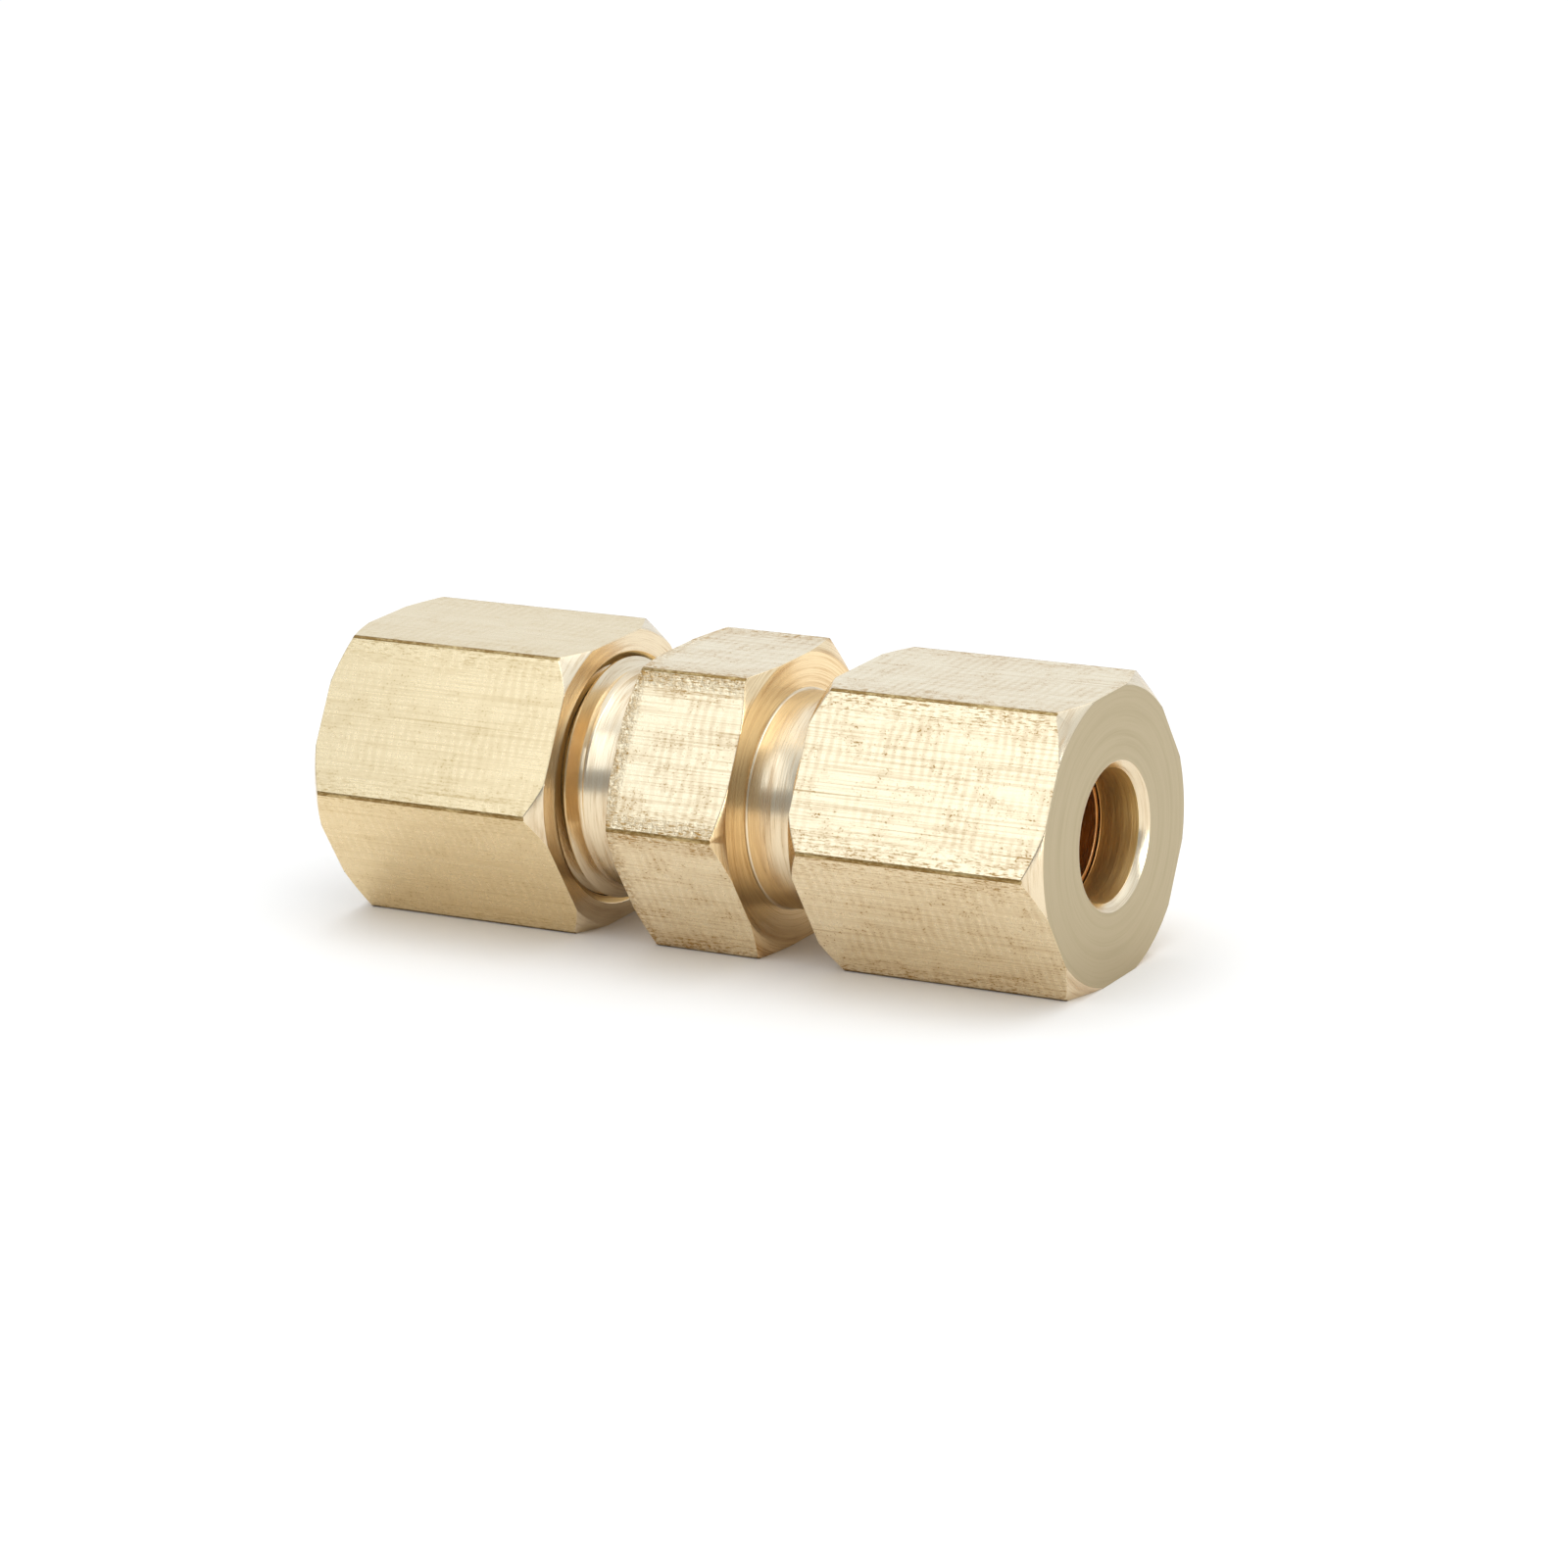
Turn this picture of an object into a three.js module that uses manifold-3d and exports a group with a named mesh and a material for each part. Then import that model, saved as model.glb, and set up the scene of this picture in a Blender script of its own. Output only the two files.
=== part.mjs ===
// A straight brass compression union for 6 mm tube: a hexagonal body with a threaded
// spigot at each end, and a nut and a loose sealing ferrule on each spigot.
// Millimetres. +X runs along the tube, +Z is up, and the origin is the middle of the bore.

import * as THREE from 'three';
import { mergeVertices } from 'three/addons/utils/BufferGeometryUtils.js';
import Module from 'manifold-3d';

const wasm = await Module();
wasm.setup();

// Driving dimensions
const HEX_FLATS = 14;            // across flats of the body and of both nuts
const HEX_CORNER_RADIUS = 0.22;  // rounding of the drawn bar's six corners
const TUBE_SOCKET = 6.15;        // bore that the 6 mm tube slides into
const WATERWAY = 4.3;            // bore between the two tube stops
const THREAD_MAJOR = 12;
const THREAD_PITCH = 1;
const BODY_HALF_LENGTH = 12;
const BODY_HEX_HALF_WIDTH = 3.28;
const NUT_MOUTH_X = 6.8;         // the nut's open end, which faces the body
const NUT_OUTER_X = 20.3;        // the nut's tube end

// Body
const NECK_RADIUS = 5.3;         // thread relief beside the hexagon
const NECK_END_X = 5.8;
const TUBE_STOP_X = 4.2;
const BODY_END_CHAMFER = 0.7;
const BODY_FACE_RADIUS = 7.13;   // flat ring on each side of the body's hexagon
const BODY_FACE_CHAMFER = 0.42;  // axial depth of that chamfer at the hexagon's corners
const SEAT_MOUTH_RADIUS = 3.98;  // cone that the ferrule is pressed into
const CONE_SLOPE = 0.4663;       // radius per axial millimetre of a 25 degree cone

// Nut
const NUT_HOLE_RADIUS = 3.21;    // hole that the tube passes through
const NUT_HOLE_CHAMFER = 0.4;
const NUT_SHOULDER_X = 17.86;    // where that hole meets the inner cone
const NUT_THREAD_END_X = 14.4;
const NUT_MOUTH_HOLE_RADIUS = 6.22;
const NUT_MOUTH_FACE_RADIUS = 7.34;
const NUT_MOUTH_CHAMFER = 0.85;
const NUT_OUTER_FACE_RADIUS = 7.16;
const NUT_OUTER_CHAMFER = 0.76;

// Ferrule
const FERRULE_BORE_RADIUS = 3.05;
const FERRULE_BARREL_RADIUS = 4;
const FERRULE_REAR_RADIUS = 3.3;
const FERRULE_REAR_X = 17.7;
const FERRULE_FRONT_RADIUS = 3.3;
const FERRULE_FRONT_X = 11.9;

// Thread form: a 60 degree profile, with room between the body's thread and the nut's
const THREAD_SHARP_HEIGHT = THREAD_PITCH * Math.sqrt(3) / 2;
const PITCH_RADIUS = THREAD_MAJOR / 2 - THREAD_SHARP_HEIGHT * 3 / 8;
const BODY_CREST_ALLOWANCE = 0.03;
const BODY_THREAD_DEPTH = 0.613; // of the root, below the major diameter
const NUT_THREAD_DEPTH = 0.541;  // of the nut's crest, below the major diameter
const NUT_ROOT_ALLOWANCE = 0.08;
const BODY_CREST_RADIUS = THREAD_MAJOR / 2 - BODY_CREST_ALLOWANCE;
const BODY_ROOT_RADIUS = THREAD_MAJOR / 2 - BODY_THREAD_DEPTH;
const NUT_CREST_RADIUS = THREAD_MAJOR / 2 - NUT_THREAD_DEPTH;
const NUT_ROOT_RADIUS = THREAD_MAJOR / 2 + NUT_ROOT_ALLOWANCE;
const FLANK_CLEARANCE = 0.03;    // taken from each flank of both threads
const ROOT_OVERLAP = 0.12;       // how far a thread ridge or groove passes its own root
const LEAD_IN_PITCHES = 1.35;    // how far before the neck's end the ridge's helix begins

const FACETS = 36;               // facets in a full turn, on threads and turned faces
const FULL_TURN = Math.PI * 2;
const HEX_CIRCUMRADIUS = HEX_FLATS / Math.sqrt(3);
const SHORTEST_EDGE = 0.004;     // slivers below this size are merged away
const WELD_DISTANCE = 0.0001;    // corners closer than this are one corner
const CORNER_FACETS = 4;         // facets on each rounded corner of the bar
const CLEAR = 1;                 // how far a shape passes the face that it cuts or joins

function toSolid(geometry) {
  geometry.deleteAttribute('normal');
  geometry.deleteAttribute('uv');
  const merged = mergeVertices(geometry, WELD_DISTANCE);
  const mesh = new wasm.Mesh({
    numProp: 3,
    vertProperties: new Float32Array(merged.attributes.position.array),
    triVerts: new Uint32Array(merged.index.array),
  });
  return new wasm.Manifold(mesh);
}

function toGeometry(solid) {
  const mesh = solid.simplify(SHORTEST_EDGE).getMesh();
  const geometry = new THREE.BufferGeometry();
  geometry.setAttribute('position', new THREE.BufferAttribute(mesh.vertProperties, 3));
  geometry.setIndex(new THREE.BufferAttribute(mesh.triVerts, 1));
  geometry.computeVertexNormals();
  return geometry;
}

// A turned solid about X. Its outline is a list of [x, radius], which climbs X along the
// outside and comes back along the inside, or starts and ends on the axis.
function turned(outline) {
  const points = outline.map(([x, radius]) => new THREE.Vector2(radius, x));
  const first = points[0];
  const last = points[points.length - 1];
  if (first.x > 0 || last.x > 0) points.push(first.clone());
  const geometry = new THREE.LatheGeometry(points, FACETS);
  geometry.rotateZ(-Math.PI / 2);
  return toSolid(geometry);
}

// A bar of hexagonal stock along X, with flats above and below.
function hexBar(fromX, toX) {
  const outline = new THREE.Shape();
  const centreRadius = (HEX_FLATS / 2 - HEX_CORNER_RADIUS) / Math.cos(Math.PI / 6);
  for (let corner = 0; corner < 6; corner += 1) {
    const angle = Math.PI / 6 + corner * Math.PI / 3;
    const centreX = centreRadius * Math.cos(angle);
    const centreY = centreRadius * Math.sin(angle);
    outline.absarc(centreX, centreY, HEX_CORNER_RADIUS, angle - Math.PI / 6, angle + Math.PI / 6);
  }
  const settings = { depth: toX - fromX, bevelEnabled: false, curveSegments: CORNER_FACETS };
  const geometry = new THREE.ExtrudeGeometry(outline, settings);
  geometry.rotateY(Math.PI / 2);
  geometry.translate(fromX, 0, 0);
  return toSolid(geometry);
}

// A hexagon whose two ends are chamfered by turning, so only its corners are cut away.
function chamferedHex(fromX, toX, fromChamfer, toChamfer) {
  const envelope = turned([
    [fromX, 0],
    [fromX, fromChamfer.faceRadius],
    [fromX + fromChamfer.depth, HEX_CIRCUMRADIUS],
    [toX - toChamfer.depth, HEX_CIRCUMRADIUS],
    [toX, toChamfer.faceRadius],
    [toX, 0],
  ]);
  return hexBar(fromX, toX).intersect(envelope);
}

// A trapezoid swept along a right-hand helix about X. Width is measured at the pitch line.
function helicalRidge(innerRadius, outerRadius, pitchWidth, startX, endX) {
  const slope = Math.tan(Math.PI / 6);
  const innerHalf = pitchWidth / 2 + (PITCH_RADIUS - innerRadius) * slope;
  const outerHalf = pitchWidth / 2 - (outerRadius - PITCH_RADIUS) * slope;
  const tooth = new THREE.Shape();
  tooth.moveTo(-innerHalf, innerRadius);
  tooth.lineTo(innerHalf, innerRadius);
  tooth.lineTo(outerHalf, outerRadius);
  tooth.lineTo(-outerHalf, outerRadius);
  tooth.closePath();

  const turns = Math.ceil((endX - startX) / THREAD_PITCH);
  const sweep = { depth: turns * FULL_TURN, steps: turns * FACETS, bevelEnabled: false };
  const geometry = new THREE.ExtrudeGeometry(tooth, sweep);
  const position = geometry.attributes.position;
  for (let i = 0; i < position.count; i += 1) {
    const radius = position.getY(i);
    const angle = position.getZ(i);
    const x = startX + position.getX(i) + THREAD_PITCH * angle / FULL_TURN;
    position.setXYZ(i, x, radius * Math.cos(angle), radius * Math.sin(angle));
  }
  return toSolid(geometry);
}

// The two threads start a whole number of pitches apart, so they mesh as placed.
const BODY_RIDGE_START_X = NECK_END_X - THREAD_PITCH * LEAD_IN_PITCHES;
const NUT_GROOVE_START_X = BODY_RIDGE_START_X + THREAD_PITCH;

function spigot() {
  const core = turned([
    [-CLEAR, 0],
    [-CLEAR, BODY_ROOT_RADIUS],
    [BODY_HALF_LENGTH + CLEAR, BODY_ROOT_RADIUS],
    [BODY_HALF_LENGTH + CLEAR, 0],
  ]);
  const ridge = helicalRidge(
    BODY_ROOT_RADIUS - ROOT_OVERLAP,
    BODY_CREST_RADIUS,
    THREAD_PITCH / 2 - FLANK_CLEARANCE * 2,
    BODY_RIDGE_START_X,
    BODY_HALF_LENGTH + THREAD_PITCH,
  );
  const outside = turned([
    [-CLEAR, 0],
    [-CLEAR, NECK_RADIUS],
    [NECK_END_X, NECK_RADIUS],
    [NECK_END_X + THREAD_MAJOR / 2 - NECK_RADIUS, THREAD_MAJOR / 2],
    [BODY_HALF_LENGTH - BODY_END_CHAMFER, THREAD_MAJOR / 2],
    [BODY_HALF_LENGTH, THREAD_MAJOR / 2 - BODY_END_CHAMFER],
    [BODY_HALF_LENGTH, 0],
  ]);
  return core.add(ridge).intersect(outside);
}

function tubeSocket() {
  const socketRadius = TUBE_SOCKET / 2;
  const seatDepth = (SEAT_MOUTH_RADIUS - socketRadius) / CONE_SLOPE;
  return turned([
    [-CLEAR, 0],
    [-CLEAR, WATERWAY / 2],
    [TUBE_STOP_X, WATERWAY / 2],
    [TUBE_STOP_X, socketRadius],
    [BODY_HALF_LENGTH - seatDepth, socketRadius],
    [BODY_HALF_LENGTH, SEAT_MOUTH_RADIUS],
    [BODY_HALF_LENGTH + CLEAR, SEAT_MOUTH_RADIUS + CLEAR * CONE_SLOPE],
    [BODY_HALF_LENGTH + CLEAR, 0],
  ]);
}

function unionBody() {
  const faceChamfer = { faceRadius: BODY_FACE_RADIUS, depth: BODY_FACE_CHAMFER };
  const hexagon = chamferedHex(-BODY_HEX_HALF_WIDTH, BODY_HEX_HALF_WIDTH, faceChamfer, faceChamfer);
  const rightSpigot = spigot();
  const leftSpigot = rightSpigot.rotate([0, 0, 180]);
  const rightSocket = tubeSocket();
  const leftSocket = rightSocket.rotate([0, 0, 180]);
  const bores = rightSocket.add(leftSocket);
  return hexagon.add(rightSpigot).add(leftSpigot).subtract(bores);
}

function compressionNut() {
  const blank = chamferedHex(
    NUT_MOUTH_X,
    NUT_OUTER_X,
    { faceRadius: NUT_MOUTH_FACE_RADIUS, depth: NUT_MOUTH_CHAMFER },
    { faceRadius: NUT_OUTER_FACE_RADIUS, depth: NUT_OUTER_CHAMFER },
  );
  const cavity = turned([
    [NUT_MOUTH_X - CLEAR, 0],
    [NUT_MOUTH_X - CLEAR, NUT_MOUTH_HOLE_RADIUS + CLEAR],
    [NUT_MOUTH_X + NUT_MOUTH_HOLE_RADIUS - NUT_CREST_RADIUS, NUT_CREST_RADIUS],
    [NUT_SHOULDER_X - NUT_CREST_RADIUS + NUT_HOLE_RADIUS, NUT_CREST_RADIUS],
    [NUT_SHOULDER_X, NUT_HOLE_RADIUS],
    [NUT_OUTER_X - NUT_HOLE_CHAMFER, NUT_HOLE_RADIUS],
    [NUT_OUTER_X + CLEAR, NUT_HOLE_RADIUS + NUT_HOLE_CHAMFER + CLEAR],
    [NUT_OUTER_X + CLEAR, 0],
  ]);
  const groove = helicalRidge(
    NUT_CREST_RADIUS - ROOT_OVERLAP,
    NUT_ROOT_RADIUS,
    THREAD_PITCH / 2 + FLANK_CLEARANCE * 2,
    NUT_GROOVE_START_X,
    NUT_THREAD_END_X + THREAD_PITCH,
  );
  const grooveTaper = NUT_ROOT_RADIUS - NUT_CREST_RADIUS + ROOT_OVERLAP;
  const grooveLimit = turned([
    [NUT_MOUTH_X - CLEAR, 0],
    [NUT_MOUTH_X - CLEAR, NUT_ROOT_RADIUS + CLEAR],
    [NUT_THREAD_END_X, NUT_ROOT_RADIUS + CLEAR],
    [NUT_THREAD_END_X, NUT_ROOT_RADIUS],
    [NUT_THREAD_END_X + grooveTaper, NUT_CREST_RADIUS - ROOT_OVERLAP],
    [NUT_THREAD_END_X + grooveTaper, 0],
  ]);
  return blank.subtract(cavity.add(groove.intersect(grooveLimit)));
}

function ferrule() {
  const frontCone = (FERRULE_BARREL_RADIUS - FERRULE_FRONT_RADIUS) / CONE_SLOPE;
  const rearBevel = FERRULE_BARREL_RADIUS - FERRULE_REAR_RADIUS;
  return turned([
    [FERRULE_FRONT_X, FERRULE_BORE_RADIUS],
    [FERRULE_FRONT_X, FERRULE_FRONT_RADIUS],
    [FERRULE_FRONT_X + frontCone, FERRULE_BARREL_RADIUS],
    [FERRULE_REAR_X - rearBevel, FERRULE_BARREL_RADIUS],
    [FERRULE_REAR_X, FERRULE_REAR_RADIUS],
    [FERRULE_REAR_X, FERRULE_BORE_RADIUS],
  ]);
}

const barBrass = { color: 0xcfc08f, roughness: 0.32, metalness: 1 };
const nutBrass = { color: 0xd6c898, roughness: 0.3, metalness: 1 };
const ferruleBrass = { color: 0xd9b56a, roughness: 0.25, metalness: 1 };

function part(name, solid, finish) {
  const mesh = new THREE.Mesh(toGeometry(solid), new THREE.MeshStandardMaterial(finish));
  mesh.name = name;
  return mesh;
}

const union = new THREE.Group();
union.add(part('union_body', unionBody(), barBrass));

const nutSolid = compressionNut();
const ferruleSolid = ferrule();
for (const side of ['right', 'left']) {
  const end = new THREE.Group();
  end.add(part(`${side}_nut`, nutSolid, nutBrass));
  end.add(part(`${side}_ferrule`, ferruleSolid, ferruleBrass));
  end.rotation.z = side === 'left' ? Math.PI : 0;
  union.add(end);
}

export default union;
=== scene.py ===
"""Looks for a straight brass compression union: smooth turned and milled meshes in
place of the faceted frame, brass finishes by how each surface was made, and a studio."""

import math

import bmesh
import bpy
from bpy.props import FloatProperty, FloatVectorProperty, IntProperty, PointerProperty
from bpy.types import Operator, Panel, PropertyGroup
from mathutils import Matrix, Quaternion, Vector


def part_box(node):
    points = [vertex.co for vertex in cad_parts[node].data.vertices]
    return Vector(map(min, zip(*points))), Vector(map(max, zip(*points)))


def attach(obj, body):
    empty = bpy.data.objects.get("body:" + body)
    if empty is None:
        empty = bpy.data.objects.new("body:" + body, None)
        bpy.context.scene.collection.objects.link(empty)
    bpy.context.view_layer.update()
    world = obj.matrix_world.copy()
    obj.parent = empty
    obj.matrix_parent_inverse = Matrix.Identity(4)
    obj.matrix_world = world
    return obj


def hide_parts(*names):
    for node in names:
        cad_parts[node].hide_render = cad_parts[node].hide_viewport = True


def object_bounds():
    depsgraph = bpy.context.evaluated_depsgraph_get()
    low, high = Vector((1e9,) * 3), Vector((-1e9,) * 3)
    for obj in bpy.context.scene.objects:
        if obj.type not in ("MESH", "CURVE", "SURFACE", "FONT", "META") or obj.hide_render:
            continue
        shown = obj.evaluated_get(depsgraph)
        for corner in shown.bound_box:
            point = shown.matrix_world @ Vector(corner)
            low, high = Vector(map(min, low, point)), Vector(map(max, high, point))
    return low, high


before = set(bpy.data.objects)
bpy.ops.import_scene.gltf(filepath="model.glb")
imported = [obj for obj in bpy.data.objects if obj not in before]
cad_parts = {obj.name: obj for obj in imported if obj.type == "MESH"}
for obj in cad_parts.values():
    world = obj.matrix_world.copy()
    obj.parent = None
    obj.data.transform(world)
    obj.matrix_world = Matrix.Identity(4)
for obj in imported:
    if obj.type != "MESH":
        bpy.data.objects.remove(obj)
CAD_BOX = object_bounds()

bl_info = {
    "name": "Compression union",
    "version": (1, 0, 0),
    "blender": (4, 5, 0),
    "location": "3D View > Sidebar > Union",
    "description": "Brass compression union with its nuts, ferrules and a plain studio",
    "category": "Add Mesh",
}

MM = 0.001
TURN = 2 * math.pi
X_AXIS = Vector((1, 0, 0))
ORIGIN = Vector((0, 0, 0))

BODY = [Vector(corner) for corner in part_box("union_body")]
NUT = [Vector(corner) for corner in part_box("right_nut")]
FERRULE = [Vector(corner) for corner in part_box("right_ferrule")]

HEX_INRADIUS = NUT[1].z
HEX_CIRCUMRADIUS = HEX_INRADIUS / math.cos(math.pi / 6)
BODY_END = BODY[1].x
NUT_MOUTH, NUT_END = NUT[0].x, NUT[1].x
FERRULE_FRONT, FERRULE_REAR = FERRULE[0].x, FERRULE[1].x
FERRULE_RADIUS = FERRULE[1].z

# Directions in which the bar's six flats face
FLAT_ANGLES = [flat * TURN / 6 + TURN / 4 for flat in range(6)]
FLAT_WAYS = [Vector((0, math.cos(angle), math.sin(angle))) for angle in FLAT_ANGLES]

SHARP_ANGLE = math.radians(40)  # shaded as a crease from here on
BEVEL_ANGLE = math.radians(24)  # softened from here on
SAME_WAY = 0.9999  # cosine above which a face counts as part of a plane
FACES_AXIS = -0.9  # cosine below which a turned face is one of a bore
CORNER_SEGMENTS, EDGE_SEGMENTS = 4, 2
FILLET_SEGMENTS = 4

ON_PLANE = 1e-6 * MM  # nearer to a cutting plane than this is on it
WELD = 0.0001 * MM  # corners nearer than this are one
SLIVER = 0.0005 * MM  # shorter edges are a boolean's leftovers
FACET_MERGE = 0.01 * MM  # shorter edges would fold over when softened
HAIR = 0.002 * MM  # what is nearer than this touches

# How the threads meet the pieces that carry them
CREST_ALLOWANCE = 0.03 * MM  # the body's crests stay this much inside their nominal size
ROOT_OVERLAP = 0.12 * MM  # a tooth starts this far inside the metal it joins
HIDDEN_DEPTH = 0.3 * MM  # the shape that trims it reaches this far inside
CUT_MARGIN = 0.1 * MM  # a trimming shape reaches this far past what it leaves whole
LEAD_IN_PITCHES = 1.35  # the body's tooth starts this far before its thread
NUT_LEAD_IN_PITCHES = 0.35  # the nut's groove starts this far before it

# Material slots of the body and the nuts, by how each surface was made
DRAWN, TURNED, FACED, CORNER, BORED = 0, 1, 2, 3, 4


def length(name, description, millimetres):
    """A size in the panel, kept in metres."""
    return FloatProperty(
        name=name,
        description=description,
        default=millimetres * MM,
        unit="LENGTH",
        subtype="DISTANCE",
        precision=5,
    )


def srgb(hex_colour):
    """Linear RGB of an sRGB colour written as rrggbb."""
    channels = [int(hex_colour[i : i + 2], 16) / 255 for i in (0, 2, 4)]
    return [c / 12.92 if c <= 0.04045 else ((c + 0.055) / 1.055) ** 2.4 for c in channels]


def colour(name, description, hex_colour):
    """A colour in the panel."""
    return FloatVectorProperty(
        name=name,
        description=description,
        default=srgb(hex_colour),
        subtype="COLOR",
        size=3,
        min=0,
        max=1,
    )


class UnionSizes(PropertyGroup):
    """Sizes that all three kinds of piece share, and each kind's own."""

    steps: IntProperty(
        name="Steps",
        description="Facets in a full turn of every turned surface",
        default=192,
        min=48,
    )
    edge_round: length("Edge round", "Softening of every machined edge", 0.035)
    corner_round: length("Corner round", "Radius of the drawn bar's six corners", 0.22)
    pitch: length("Pitch", "Advance of both threads in one turn", 1.0)
    thread_radius: length("Thread radius", "Outside radius of the body's thread", 5.97)
    root_radius: length("Root radius", "Bottom of the body's thread", 5.387)
    pitch_radius: length("Pitch radius", "Where tooth and gap are equally wide", 5.675)
    flank_room: length("Flank room", "Taken from each flank of both threads", 0.03)

    hex_half_width: length("Hexagon half width", "From the middle to a hexagon face", 3.28)
    hex_face_radius: length("Hexagon face radius", "Flat ring beside the neck", 7.13)
    hex_chamfer: length("Hexagon chamfer", "Depth of its chamfer at the corners", 0.42)
    neck_radius: length("Neck radius", "Thread relief beside the hexagon", 5.3)
    neck_end: length("Neck end", "Where the thread starts", 5.8)
    neck_fillet: length("Neck fillet", "Tool nose radius at the neck's foot", 0.12)
    end_chamfer: length("End chamfer", "Lead-in of the body's thread", 0.7)
    seat_radius: length("Seat radius", "Mouth of the ferrule's cone", 3.98)
    socket_radius: length("Socket radius", "Bore that the tube slides into", 3.075)
    tube_stop: length("Tube stop", "From the middle to the step the tube meets", 4.2)
    waterway_radius: length("Waterway radius", "Bore between the tube stops", 2.15)

    mouth_face_radius: length("Mouth face radius", "Flat ring at the nut's mouth", 7.34)
    mouth_chamfer: length("Mouth chamfer", "Its depth at the corners", 0.85)
    end_face_radius: length("End face radius", "Flat ring at the nut's tube end", 7.16)
    nut_end_chamfer: length("Nut end chamfer", "Its depth at the corners", 0.76)
    mouth_hole_radius: length("Mouth hole radius", "Countersink of the thread", 6.22)
    nut_crest_radius: length("Nut crest radius", "Inside of the nut's thread", 5.459)
    nut_root_radius: length("Nut root radius", "Bottom of the nut's thread", 6.08)
    thread_end: length("Thread end", "Where the nut's thread runs out", 14.4)
    shoulder: length("Shoulder", "Where the cavity's cone meets the tube hole", 17.86)
    hole_radius: length("Hole radius", "Tube hole through the nut's end", 3.21)
    hole_chamfer: length("Hole chamfer", "Its lead-in", 0.4)

    ferrule_bore: length("Ferrule bore", "Radius of the sleeve's inside", 3.05)
    ferrule_face: length("Ferrule face", "Outer radius of its two end faces", 3.3)
    ferrule_cone: length("Ferrule cone", "Length of its front cone", 1.5)


class UnionFinishes(PropertyGroup):
    """Colours of the finishes and of the studio."""

    drawn: colour("Drawn brass", "Clean metal on the bar's flats", "F4E2BE")
    drawn_dark: colour("Drawn brass, dull", "Burnt oil in its scratches and pits", "B1884A")
    # The left nut's bar colours are darker and more golden than those of the other two hexagons
    drawn_left: colour("Left nut's bar", "A bar with more copper in it", "EDD7AC")
    drawn_left_dark: colour("Left nut's bar, dull", "Its scratches and pits", "B9995A")
    corner: colour("Corner", "Bright flecks on the bar's corners", "D8C08C")
    corner_dark: colour("Corner, dull", "Brown film on the bar's corners", "8A6C3C")
    turned: colour("Turned brass", "Clean metal cut by the tool", "EAD8B8")
    turned_dark: colour("Turned brass, dull", "Between the tool's marks", "B9966A")
    # Both faced colours are darkened as painted shade, standing in for the dim surroundings that
    # the nuts' end faces reflect
    faced_with_painted_light: colour("Faced brass", "The nuts' end faces, left by the parting tool", "B8A887")
    faced_dark_with_painted_shade: colour("Faced brass, dull", "Between the parting tool's rings", "9F8F6C")
    # Both grooved colours are partly the grooved brass and partly painted reflection: made
    # brighter and more golden to stand in for the neck and the nut's mouth that the hexagon's
    # faces reflect
    grooved_with_painted_reflection: colour("Grooved brass", "The hexagon's faces beside the necks", "F7DCAE")
    grooved_dark_with_painted_reflection: colour("Grooved brass, dull", "Between the grooving tool's rings", "B98846")
    # Both bored colours are partly the drilled brass and partly painted light: brightened to
    # stand in for light reaching the walls inside the bores
    bored_with_painted_light: colour("Bored brass", "The inside walls, left by the drill", "FFE2A2")
    bored_dark_with_painted_light: colour("Bored brass, dull", "Between the drill's rings", "CE9A50")
    # The ferrule colours are partly painted shade: redder, and the dull one darker, to stand in
    # for the shade deep inside the nuts
    ferrule: colour("Ferrule brass", "The sleeve's finely turned metal", "F0C594")
    ferrule_dark_with_painted_shade: colour("Ferrule brass, dull", "Its thin dark film", "A9693F")
    floor: colour("Floor", "Matt white paper", "F5EEE4")
    light: colour("Light", "The cool white of the softboxes and the room", "ECF4FF")


# ---------------------------------------------------------------- materials

# Places of a colour Mix node's sockets, whose names its other data types share
MIX_FACTOR, MIX_FIRST, MIX_SECOND, MIX_RESULT = 0, 6, 7, 2

# Distance between the bands of a Wave texture at scale 1
WAVE_PERIOD = TURN / 20

# Grooves on a face lie this many times closer than along a turned wall
FACE_FEED = 1.7

# How each lathe tool leaves the metal: the clean metal's roughness, the length of its
# marks around the axis in millimetres, how dull they are, and their depth in millimetres
LATHE_MARKS = {
    "brass_turned": (0.2, 2, 1.0, 0.003),
    "brass_parted_face_painted_shade": (0.36, 4, 0.5, 0.0008),
    "brass_grooved_face_painted_reflection": (0.2, 4, 1.2, 0.003),
    "brass_bored_painted_light": (0.38, 6, 0.8, 0.02),
    "brass_ferrule_painted_shade": (0.25, 3, 1.0, 0.01),
}

# How much rougher the metal is in those marks than between them
MARK_ROUGHNESS = 0.15

# The left nut's bar is cleaner than that of the other two hexagons, which have 1
LEFT_NUT_WEAR = 0.6

# Where burnt specks and torn chips begin, and where they are thickest: distances from the
# axis, up towards the bar's corners, and places along it, towards the body's left neck
BURNT_RADII = (HEX_INRADIUS + 0.35 * MM, HEX_INRADIUS + 0.95 * MM)
TORN_RADII = (HEX_INRADIUS + 0.6 * MM, HEX_INRADIUS + 0.9 * MM)
TORN_PLACES = (-2.35 * MM, -3.0 * MM)


def add_node(tree, kind, inputs, output=0, **settings):
    """Adds a node with its settings, and gives back one of its outputs. Each input is a
    value, or the output that feeds it, under the socket's name or place."""
    node = tree.nodes.new(kind)
    for name, value in settings.items():
        setattr(node, name, value)
    for name, value in inputs.items():
        if isinstance(value, bpy.types.NodeSocket):
            tree.links.new(value, node.inputs[name])
        else:
            node.inputs[name].default_value = value
    return node.outputs[output]


def rgba(linear_rgb):
    """A colour with the alpha that sockets ask for."""
    return (*linear_rgb, 1)


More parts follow.
